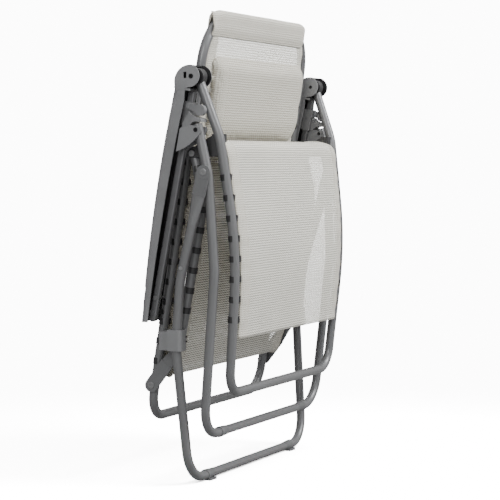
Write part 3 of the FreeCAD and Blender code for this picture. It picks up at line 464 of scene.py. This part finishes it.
def sheet(name, line, width_at, first_clip, sag, seed):
    """A sheet of mesh that follows line, the stitches along its two hems, and its flat size.

    What stands off the line, such as the hem, is on the side that is sat on, and the edges are
    tucked the other way, towards the tubes.
    """
    line, places = smooth_line(line, SHEET_STEP)
    tangents = np.gradient(line, axis=0)
    tangents /= np.linalg.norm(tangents, axis=1)[:, None]
    widths = [width_at(y, z) for y, z in line]
    verts, uvs, insets = [], [], []
    seams = {-1: [], 1: []}
    for (y, z), (ty, tz), along, half in zip(line, tangents, places, widths):
        tight = clip_pull(first_clip, z)
        row = columns(half)
        for x in row:
            inset = half - abs(x)
            lift = sheet_lift(x, along, inset, tight, sag, seed)
            scallop = RIPPLE * (tight - 0.5) * math.exp(-inset / EDGE_REACH)
            verts.append((x * (1.0 + scallop / half), y + tz * lift, z - ty * lift))
            uvs.append((x, along))
            insets.append(inset)
        lift = SEAM_LIFT + RIPPLE * math.exp(-SEAM_INSET / RIPPLE_REACH) * (tight - 0.5)
        for side in seams:
            seams[side].append((side * (half - SEAM_INSET), y + tz * lift, z - ty * lift))
    doubles = [1.0 if inset < HEM else 0.0 for inset in insets]
    faces = grid_faces(len(line), len(row))
    obj = new_piece(name, verts, faces, uvs, {"inset": insets, "double": doubles})
    thicken(obj, SHEET_T)
    paint(obj, FINISHES["sling_mesh"])
    rows = [stitch for side in seams for stitch in stitches(seams[side])]
    flat = (max(widths) * 2, float(places[-1]))
    return obj, stitch_piece(name + "_stitches", rows), flat


STITCH_PITCH = 0.0046
STITCH_L = 0.0034
STITCH_R = 0.00045


def stitches(path):
    """Starts and ends of the stitches along a path."""
    path = np.array(path)
    travelled = np.concatenate([[0], np.cumsum(np.linalg.norm(np.diff(path, axis=0), axis=1))])
    found = []
    for start in np.arange(STITCH_PITCH, travelled[-1] - STITCH_PITCH, STITCH_PITCH):
        ends = [[np.interp(t, travelled, path[:, k]) for k in range(3)] for t in (start, start + STITCH_L)]
        found.append((Vector(ends[0]), Vector(ends[1])))
    return found


def stitch_piece(name, rows):
    """Short rounded threads, all in one mesh."""
    verts, faces = [], []
    # places along a thread, and its thickness there, as shares of the whole
    profile = [(0.0, 0.15), (0.2, 0.85), (0.5, 1.0), (0.8, 0.85), (1.0, 0.15)]
    around = 6
    for start, end in rows:
        first = len(verts)
        lengthwise = (end - start).normalized()
        sideways = lengthwise.cross(Vector((0, -1, 0.2))).normalized()
        outward = sideways.cross(lengthwise)
        for share, size in profile:
            centre = start.lerp(end, share)
            for k in range(around):
                turn = 2 * math.pi * k / around
                out = sideways * math.cos(turn) + outward * math.sin(turn)
                verts.append(centre + out * STITCH_R * size)
        for r in range(len(profile) - 1):
            for k in range(around):
                a = first + r * around + k
                b = first + r * around + (k + 1) % around
                faces.append((a, b, b + around, a + around))
        faces.append([first + k for k in range(around)][::-1])
        faces.append([first + (len(profile) - 1) * around + k for k in range(around)])
    obj = new_piece(name, verts, faces)
    paint(obj, THREAD)
    return obj


SEAT_WIDTH = SEAT_SIDE - HEM_GAP     # half width of the seat's sling


def back_y(z):
    return on_line([BACK_LOW, BACK_TOP], z) - LIFT


def seat_y(z):
    return on_line(SEAT_LINE, z) + LIFT


def legrest_y(z):
    low, high = LEGREST_CURVE
    share = (z - low) / (high - low)
    if not 0 < share < 1:
        return on_line(LEGREST_LINE, z) - LEGREST_LIFT
    ends = on_line(LEGREST_LINE, low), on_line(LEGREST_LINE, high)
    middle = LEGREST_LINE[1][0]
    curved = ends[0] * (1 - share) ** 2 + 2 * middle * share * (1 - share) + ends[1] * share ** 2
    return curved - LEGREST_LIFT


def upper_width(y, z):
    """Half width of the sheet over the hip: the backrest's, then the seat's in front of it."""
    share = clamp((back_y(z) - 0.006 - y) / 0.02)
    return back_width(z) + (SEAT_WIDTH - back_width(z)) * share


def lower_width(y, z):
    """Half width of the sheet over the knee: the seat's, then the legrest's in front of it."""
    share = clamp((-0.012 - y) / 0.055) if z > 0.60 else float(y < -0.06)
    return SEAT_WIDTH + (legrest_width(z) - SEAT_WIDTH) * share


def build_upper():
    """Down the backrest, round the fold at the hip and up the seat to the join."""
    line = [(back_y(z), z) for z in np.linspace(0.945, 0.250, 40)]
    line += [(0.0800, 0.238), (0.0740, 0.228), (0.0660, 0.2235), (0.0580, 0.2255), (0.0535, 0.232)]
    line += [(seat_y(z), z) for z in np.linspace(0.245, SEAT_JOIN, 36)]
    first = CLIP_FIRST["backrest"]
    obj, seams, flat = sheet("sling_upper", line, upper_width, first, sag=0.0008, seed=3.0)
    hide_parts("sling_backrest", "sling_seat")
    for piece in (obj, seams):
        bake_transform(piece)


def build_lower():
    """From the join over the fold at the knee and down the legrest."""
    line = [(seat_y(z), z) for z in np.linspace(SEAT_JOIN, 0.692, 4)]
    line += [(-0.0035, 0.700), (-0.0080, 0.710), (-0.0180, 0.7165), (-0.0340, 0.7195), (-0.0520, 0.7195)]
    line += [(-0.0670, 0.7175), (-0.0785, 0.7135), (-0.0860, 0.7060)]
    line += [(legrest_y(z), z) for z in np.linspace(0.694, 0.309, 30)]
    first = CLIP_FIRST["legrest"]
    obj, seams, flat = sheet("sling_lower", line, lower_width, first, sag=0.0022, seed=5.0)
    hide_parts("sling_legrest")
    for piece in (obj, seams):
        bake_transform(piece)


# ---- hem pocket round the top bar ---------------------------------------------------------------------
POCKET_X = (-0.2500, 0.2265)     # it has slid a little to the left along the bar
BACK_END_X = -0.230              # its back layer ends sooner than its front
POCKET_SEAM_Z = 0.943
PINCH_X = -0.238                 # left of this its open end is pinched
POCKET_REACH = 0.0122            # from the bar's centre line to the sheet
POCKET_T = 0.0016
POCKET_DROP = 0.0045             # furthest that its top follows the bar down at a corner
RUMPLE = 0.0016
PINCH_SHARE = 0.7


def top_bar_drop(x):
    """How far the pocket's top follows the bar down its rounded corner."""
    over = max(0.0, abs(x) - (TOP_BAR_HALF - BACK_TOP_R))
    drop = BACK_TOP_R - math.sqrt(max(0.0, BACK_TOP_R ** 2 - over ** 2))
    return min(drop, POCKET_DROP)


def pocket_stations():
    """Rows of the pocket from its back seam over the bar to its front seam.

    Each is its offset in front of the backrest's plane, its height, and how far it follows the bar.
    """
    seam = POCKET_SEAM_Z
    stations = [(0.0060, seam - 0.004, 0.0), (0.0050, seam, 0.0), (-0.0040, seam + 0.003, 0.1)]
    stations += [(-0.0092, seam + 0.009, 0.3), (-0.0116, seam + 0.015, 0.6)]
    stations += [(-POCKET_REACH, z, 1.0) for z in np.linspace(0.966, 0.977, 3)]
    for turn in np.linspace(0, math.pi, 15)[1:-1]:
        across, up = -POCKET_REACH * math.cos(turn), POCKET_REACH * math.sin(turn)
        stations.append((across, BACK_TOP[1] + up, 1.0))
    stations += [(POCKET_REACH, z, 1.0) for z in np.linspace(0.977, 0.966, 4)]
    stations += [(0.0126, seam + 0.017, 0.6), (0.0122, seam + 0.010, 0.3), (0.0114, seam + 0.005, 0.1)]
    return stations + [(0.0094, seam, 0.0), (0.0100, seam - 0.0025, 0.0), (0.0092, seam - 0.0045, 0.0)]


def pinch(x, z):
    """The share of its depth that the pocket keeps near its open left end, which closes at the top."""
    share = clamp((PINCH_X - x) / (PINCH_X - POCKET_X[0]))
    return 1 - PINCH_SHARE * share * clamp((z - 0.962) / 0.028)


def on_back(x, offset, z):
    """A point in front of the backrest's plane."""
    return (x, on_line([BACK_LOW, BACK_TOP], z) - offset, z)


def build_pocket():
    """One sheet: up the back of the bar, over it and down to a seam on the sling."""
    low, high = POCKET_X
    insets_at_ends = (0.0, 0.0015, 0.004, 0.010)
    ends = {low + inset for inset in insets_at_ends} | {high - inset for inset in insets_at_ends}
    xs = sorted(ends | set(np.linspace(low + 0.018, high - 0.018, 60)))
    verts, uvs, insets = [], [], []
    travelled, last = 0.0, None
    stations = pocket_stations()
    for offset, z, follow in stations:
        here = np.array([offset, z])
        travelled += 0.0 if last is None else float(np.linalg.norm(here - last))
        last = here
        for x in xs:
            behind = max(0.0, -offset / POCKET_REACH) * max(0.0, BACK_END_X - x)
            rumple = follow * RUMPLE * noise.noise(Vector((x * 11, travelled * 14, 4.0)))
            outward = offset + (rumple if offset > 0 else -rumple)
            verts.append(on_back(x + behind, outward * pinch(x, z), z - follow * top_bar_drop(x)))
            uvs.append((x, travelled))
            insets.append(min(x - low, high - x))
    values = {"inset": insets, "double": [1.0] * len(verts)}
    obj = new_piece("sling_pocket_cloth", verts, grid_faces(len(stations), len(xs)), uvs, values)
    thicken(obj, POCKET_T)
    paint(obj, FINISHES["sling_mesh"])
    path = [on_back(x, 0.0112, POCKET_SEAM_Z + 0.0008) for x in np.linspace(low, high, 60)]
    seams = stitch_piece("sling_pocket_stitches", stitches(path))
    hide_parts("sling_pocket")
    for piece in (obj, seams):
        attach(piece, "backrest")


# ---- headrest pillow ------------------------------------------------------------------------------------
PILLOW_Z = (0.712, 0.907)
PILLOW_HALF = 0.232
PILLOW_T = 0.0215        # before it swells
PILLOW_BACK = 0.0085     # from the backrest's plane to its flat back
PILLOW_TOP_SLOPE = 0.045
PILLOW_LOW_ROLL = 0.060
PILLOW_END_ROLL = 0.035
PILLOW_NARROW = 0.004    # how much narrower each side is at its lower edge
PILLOW_GRID = (84, 36)
PAD_VOXEL = 0.005
PAD_PRESSURE = 4.0
SWELL_STEPS = 20
SWELL = 0.004            # furthest that a point moves as it swells
GROOVE_T = 0.0012        # depth and width of the seams that hold its end layers
GROOVE_W = 0.0025


def rounding(distance, length):
    """0 at an edge, rising as a quarter of an ellipse to 1 over length."""
    left = 1 - clamp(distance / length)
    return math.sqrt(1 - left * left)


def pad_fullness(x, z, half):
    """How full the pad is at a place, from 0 at its edges to 1."""
    low, high = PILLOW_Z
    ends = rounding(half - abs(x), PILLOW_END_ROLL)
    below = math.sin(min(1.0, (z - low) / PILLOW_LOW_ROLL) * math.pi / 2)
    above = math.sin(min(1.0, (high - z) / PILLOW_TOP_SLOPE) * math.pi / 2)
    return ends * below ** 0.85 * above


def swell(obj):
    """Lets the pad fill out as stuffed cloth does."""
    remesh = obj.modifiers.new("remesh", "REMESH")
    remesh.mode = "VOXEL"
    remesh.voxel_size = PAD_VOXEL
    bake(obj)
    start = [v.co.copy() for v in obj.data.vertices]
    cloth = obj.modifiers.new("cloth", "CLOTH").settings
    cloth.use_pressure = True
    cloth.uniform_pressure_force = PAD_PRESSURE
    cloth.effector_weights.gravity = 0.0
    for step in range(1, SWELL_STEPS + 1):
        bpy.context.scene.frame_set(step)
    bake(obj)
    bpy.context.scene.frame_set(1)
    for vertex, before in zip(obj.data.vertices, start):
        move = vertex.co - before
        if move.length > SWELL:
            vertex.co = before + move.normalized() * SWELL


def pad_shell():
    """A closed pad with a flat back, a rolled lower edge and a sloping top, in front of the sling."""
    across, tall = PILLOW_GRID
    low, high = PILLOW_Z
    verts, faces = [], []
    for side in (0, 1):
        for z in np.linspace(low, high, tall + 1):
            half = PILLOW_HALF - PILLOW_NARROW * (high - z) / (high - low)
            for u in np.linspace(-1, 1, across + 1):
                x = u * half
                uneven = 1.0 + 0.08 * noise.noise(Vector((x * 6, z * 6, 2.0)))
                bulge = PILLOW_T * pad_fullness(x, z, half) * uneven
                verts.append(on_back(x, PILLOW_BACK + side * bulge, z))
    size = (across + 1) * (tall + 1)
    for a, b, c, d in grid_faces(tall + 1, across + 1):
        faces.append((d, c, b, a))
        faces.append((a + size, b + size, c + size, d + size))
    obj = new_piece("pillow_pad", verts, faces)
    weld = obj.modifiers.new("weld", "WELD")
    weld.merge_threshold = 0.0002
    bake(obj)
    return obj


def sew_ends(obj):
    """Presses in the two seams that hold the end layers, on the front of the pad."""
    for vertex in obj.data.vertices:
        offset = on_line([BACK_LOW, BACK_TOP], vertex.co.z) - vertex.co.y
        if offset > PILLOW_BACK + 0.006:
            from_seam = abs(vertex.co.x) - PAD_SEAM
            vertex.co.y += GROOVE_T * math.exp(-(from_seam / GROOVE_W) ** 2)


def weave_by_place(obj):
    """Lays the weave on the pad as seen from the front, x across and height along."""
    layer = obj.data.uv_layers.new(name="weave")
    for loop in obj.data.loops:
        place = obj.data.vertices[loop.vertex_index].co
        layer.data[loop.index].uv = (place.x, place.z)


def build_pillow():
    obj = pad_shell()
    swell(obj)
    finer = obj.modifiers.new("finer", "SUBSURF")
    finer.levels = 1
    bake(obj)
    sew_ends(obj)
    weave_by_place(obj)
    obj.data.shade_smooth()
    paint(obj, FINISHES["pillow_mesh"])
    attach(obj, "backrest")
    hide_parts("headrest_pillow")


build_upper()
build_lower()
build_pocket()
build_pillow()


# ---- floor, light and camera ----------------------------------------------------------------------------
STUDIO_LIGHT = 0.34      # what the surroundings shed on the object from all round
FRONT_LIGHT = 0.48       # and more of it from the front
TOP_LIGHT = 0.45         # and from above
STUDIO_WHITE = 12.0      # how bright they look
FLOOR_GREY = 0.28        # what the floor sheds back
FLOOR_WHITE = 11.0       # how bright it looks
FLOOR_HALF = 14.0
FLOOR_FADE = (0.35, 1.5)         # distances over which it fades into the white behind it
FLOOR_GAP = 0.0004       # from the feet down to the floor

MIDDLE = Vector((0, 0, 0.5))     # where the lamps aim
LAMPS = [                # name, place, size and power
    ("key", Vector((0.6, -2.9, 3.2)), 2.2, 190.0),
    ("fill", Vector((-3.2, -0.6, 1.8)), 1.8, 50.0),
    ("top", Vector((0.0, -0.2, 3.2)), 2.0, 30.0),
]

CAMERA_PLACE = Vector((-3.63635, -1.66943, 0.68163))
CAMERA_TURN = 0.4301337          # radians from +X towards +Y
CAMERA_DIP = 0.0505788           # radians below level
CAMERA_LENS = 129.6              # millimetres, on a sensor 36 mm wide


def seen_by_camera(g):
    return g.node("LightPath").outputs["Is Camera Ray"]


def mixed_surface(g, output, share, first, second):
    """Sends a mix of two shaders to the node named output."""
    mixed = g.node("MixShader")
    for socket, value in zip(mixed.inputs, (share, first, second)):
        g.put(socket, value)
    g.put(g.tree.nodes[output].inputs["Surface"], mixed.outputs[0])


def softbox_strength(g):
    """Brighter from the front and from above than from the sides, as large soft lamps are."""
    direction = g.xyz(g.node("TexCoord").outputs["Generated"])
    front = g.math("MULTIPLY", g.ramp(direction[1], 0.1, -0.9), FRONT_LIGHT)
    above = g.math("MULTIPLY", g.ramp(direction[2], 0.0, 0.9), TOP_LIGHT)
    return g.math("ADD", g.math("ADD", front, above), STUDIO_LIGHT)


def build_world():
    """Soft light all round, seen by the camera as plain white."""
    world = bpy.data.worlds.new("studio")
    g = Graph(world)
    soft = g.tree.nodes["Background"]
    soft.inputs["Color"].default_value = grey(1.0)
    g.put(soft.inputs["Strength"], softbox_strength(g))
    plain = g.node("Background")
    plain.inputs["Color"].default_value = grey(1.0)
    plain.inputs["Strength"].default_value = STUDIO_WHITE
    mixed_surface(g, "World Output", seen_by_camera(g), soft.outputs[0], plain.outputs[0])
    bpy.context.scene.world = world


def build_floor():
    """A pale floor that keeps soft shadows near the object and fades into the white behind it."""
    g = material_graph("studio_floor")
    camera = seen_by_camera(g)
    diffuse = g.node("BsdfDiffuse")
    g.put(diffuse.inputs["Color"], g.mix(camera, grey(FLOOR_GREY), grey(FLOOR_WHITE)))
    glow = g.node("Emission")
    glow.inputs["Strength"].default_value = STUDIO_WHITE
    distance = g.node("VectorMath", operation="LENGTH")
    g.put(distance.inputs[0], g.object_coords())
    far = g.math("MULTIPLY", g.ramp(distance.outputs["Value"], *FLOOR_FADE), camera)
    mixed_surface(g, "Material Output", far, diffuse.outputs[0], glow.outputs[0])
    corners = [(x * FLOOR_HALF, y * FLOOR_HALF, 0) for x, y in ((-1, -1), (1, -1), (1, 1), (-1, 1))]
    floor = new_piece("studio_floor", corners, [(0, 1, 2, 3)])
    floor.location.z = CAD_LOW.z - FLOOR_GAP
    paint(floor, g)


def put_in_scene(name, data, place, look):
    """A lamp or camera that stands at place and looks along look."""
    obj = bpy.data.objects.new(name, data)
    obj.location = place
    obj.rotation_mode = "QUATERNION"
    obj.rotation_quaternion = look.to_track_quat("-Z", "Y")
    bpy.context.scene.collection.objects.link(obj)
    return obj


def build_lamps():
    for name, place, size, power in LAMPS:
        light = bpy.data.lights.new(name, "AREA")
        light.shape = "DISK"
        light.size = size
        light.energy = power
        put_in_scene(name, light, place, MIDDLE - place)


def build_camera():
    flat = Vector((math.cos(CAMERA_TURN), math.sin(CAMERA_TURN), 0))
    look = flat * math.cos(CAMERA_DIP) - Vector((0, 0, math.sin(CAMERA_DIP)))
    camera = bpy.data.cameras.new("camera")
    camera.sensor_width = 36.0
    camera.lens = CAMERA_LENS
    bpy.context.scene.camera = put_in_scene("camera", camera, CAMERA_PLACE, look)


build_world()
build_floor()
build_lamps()
build_camera()
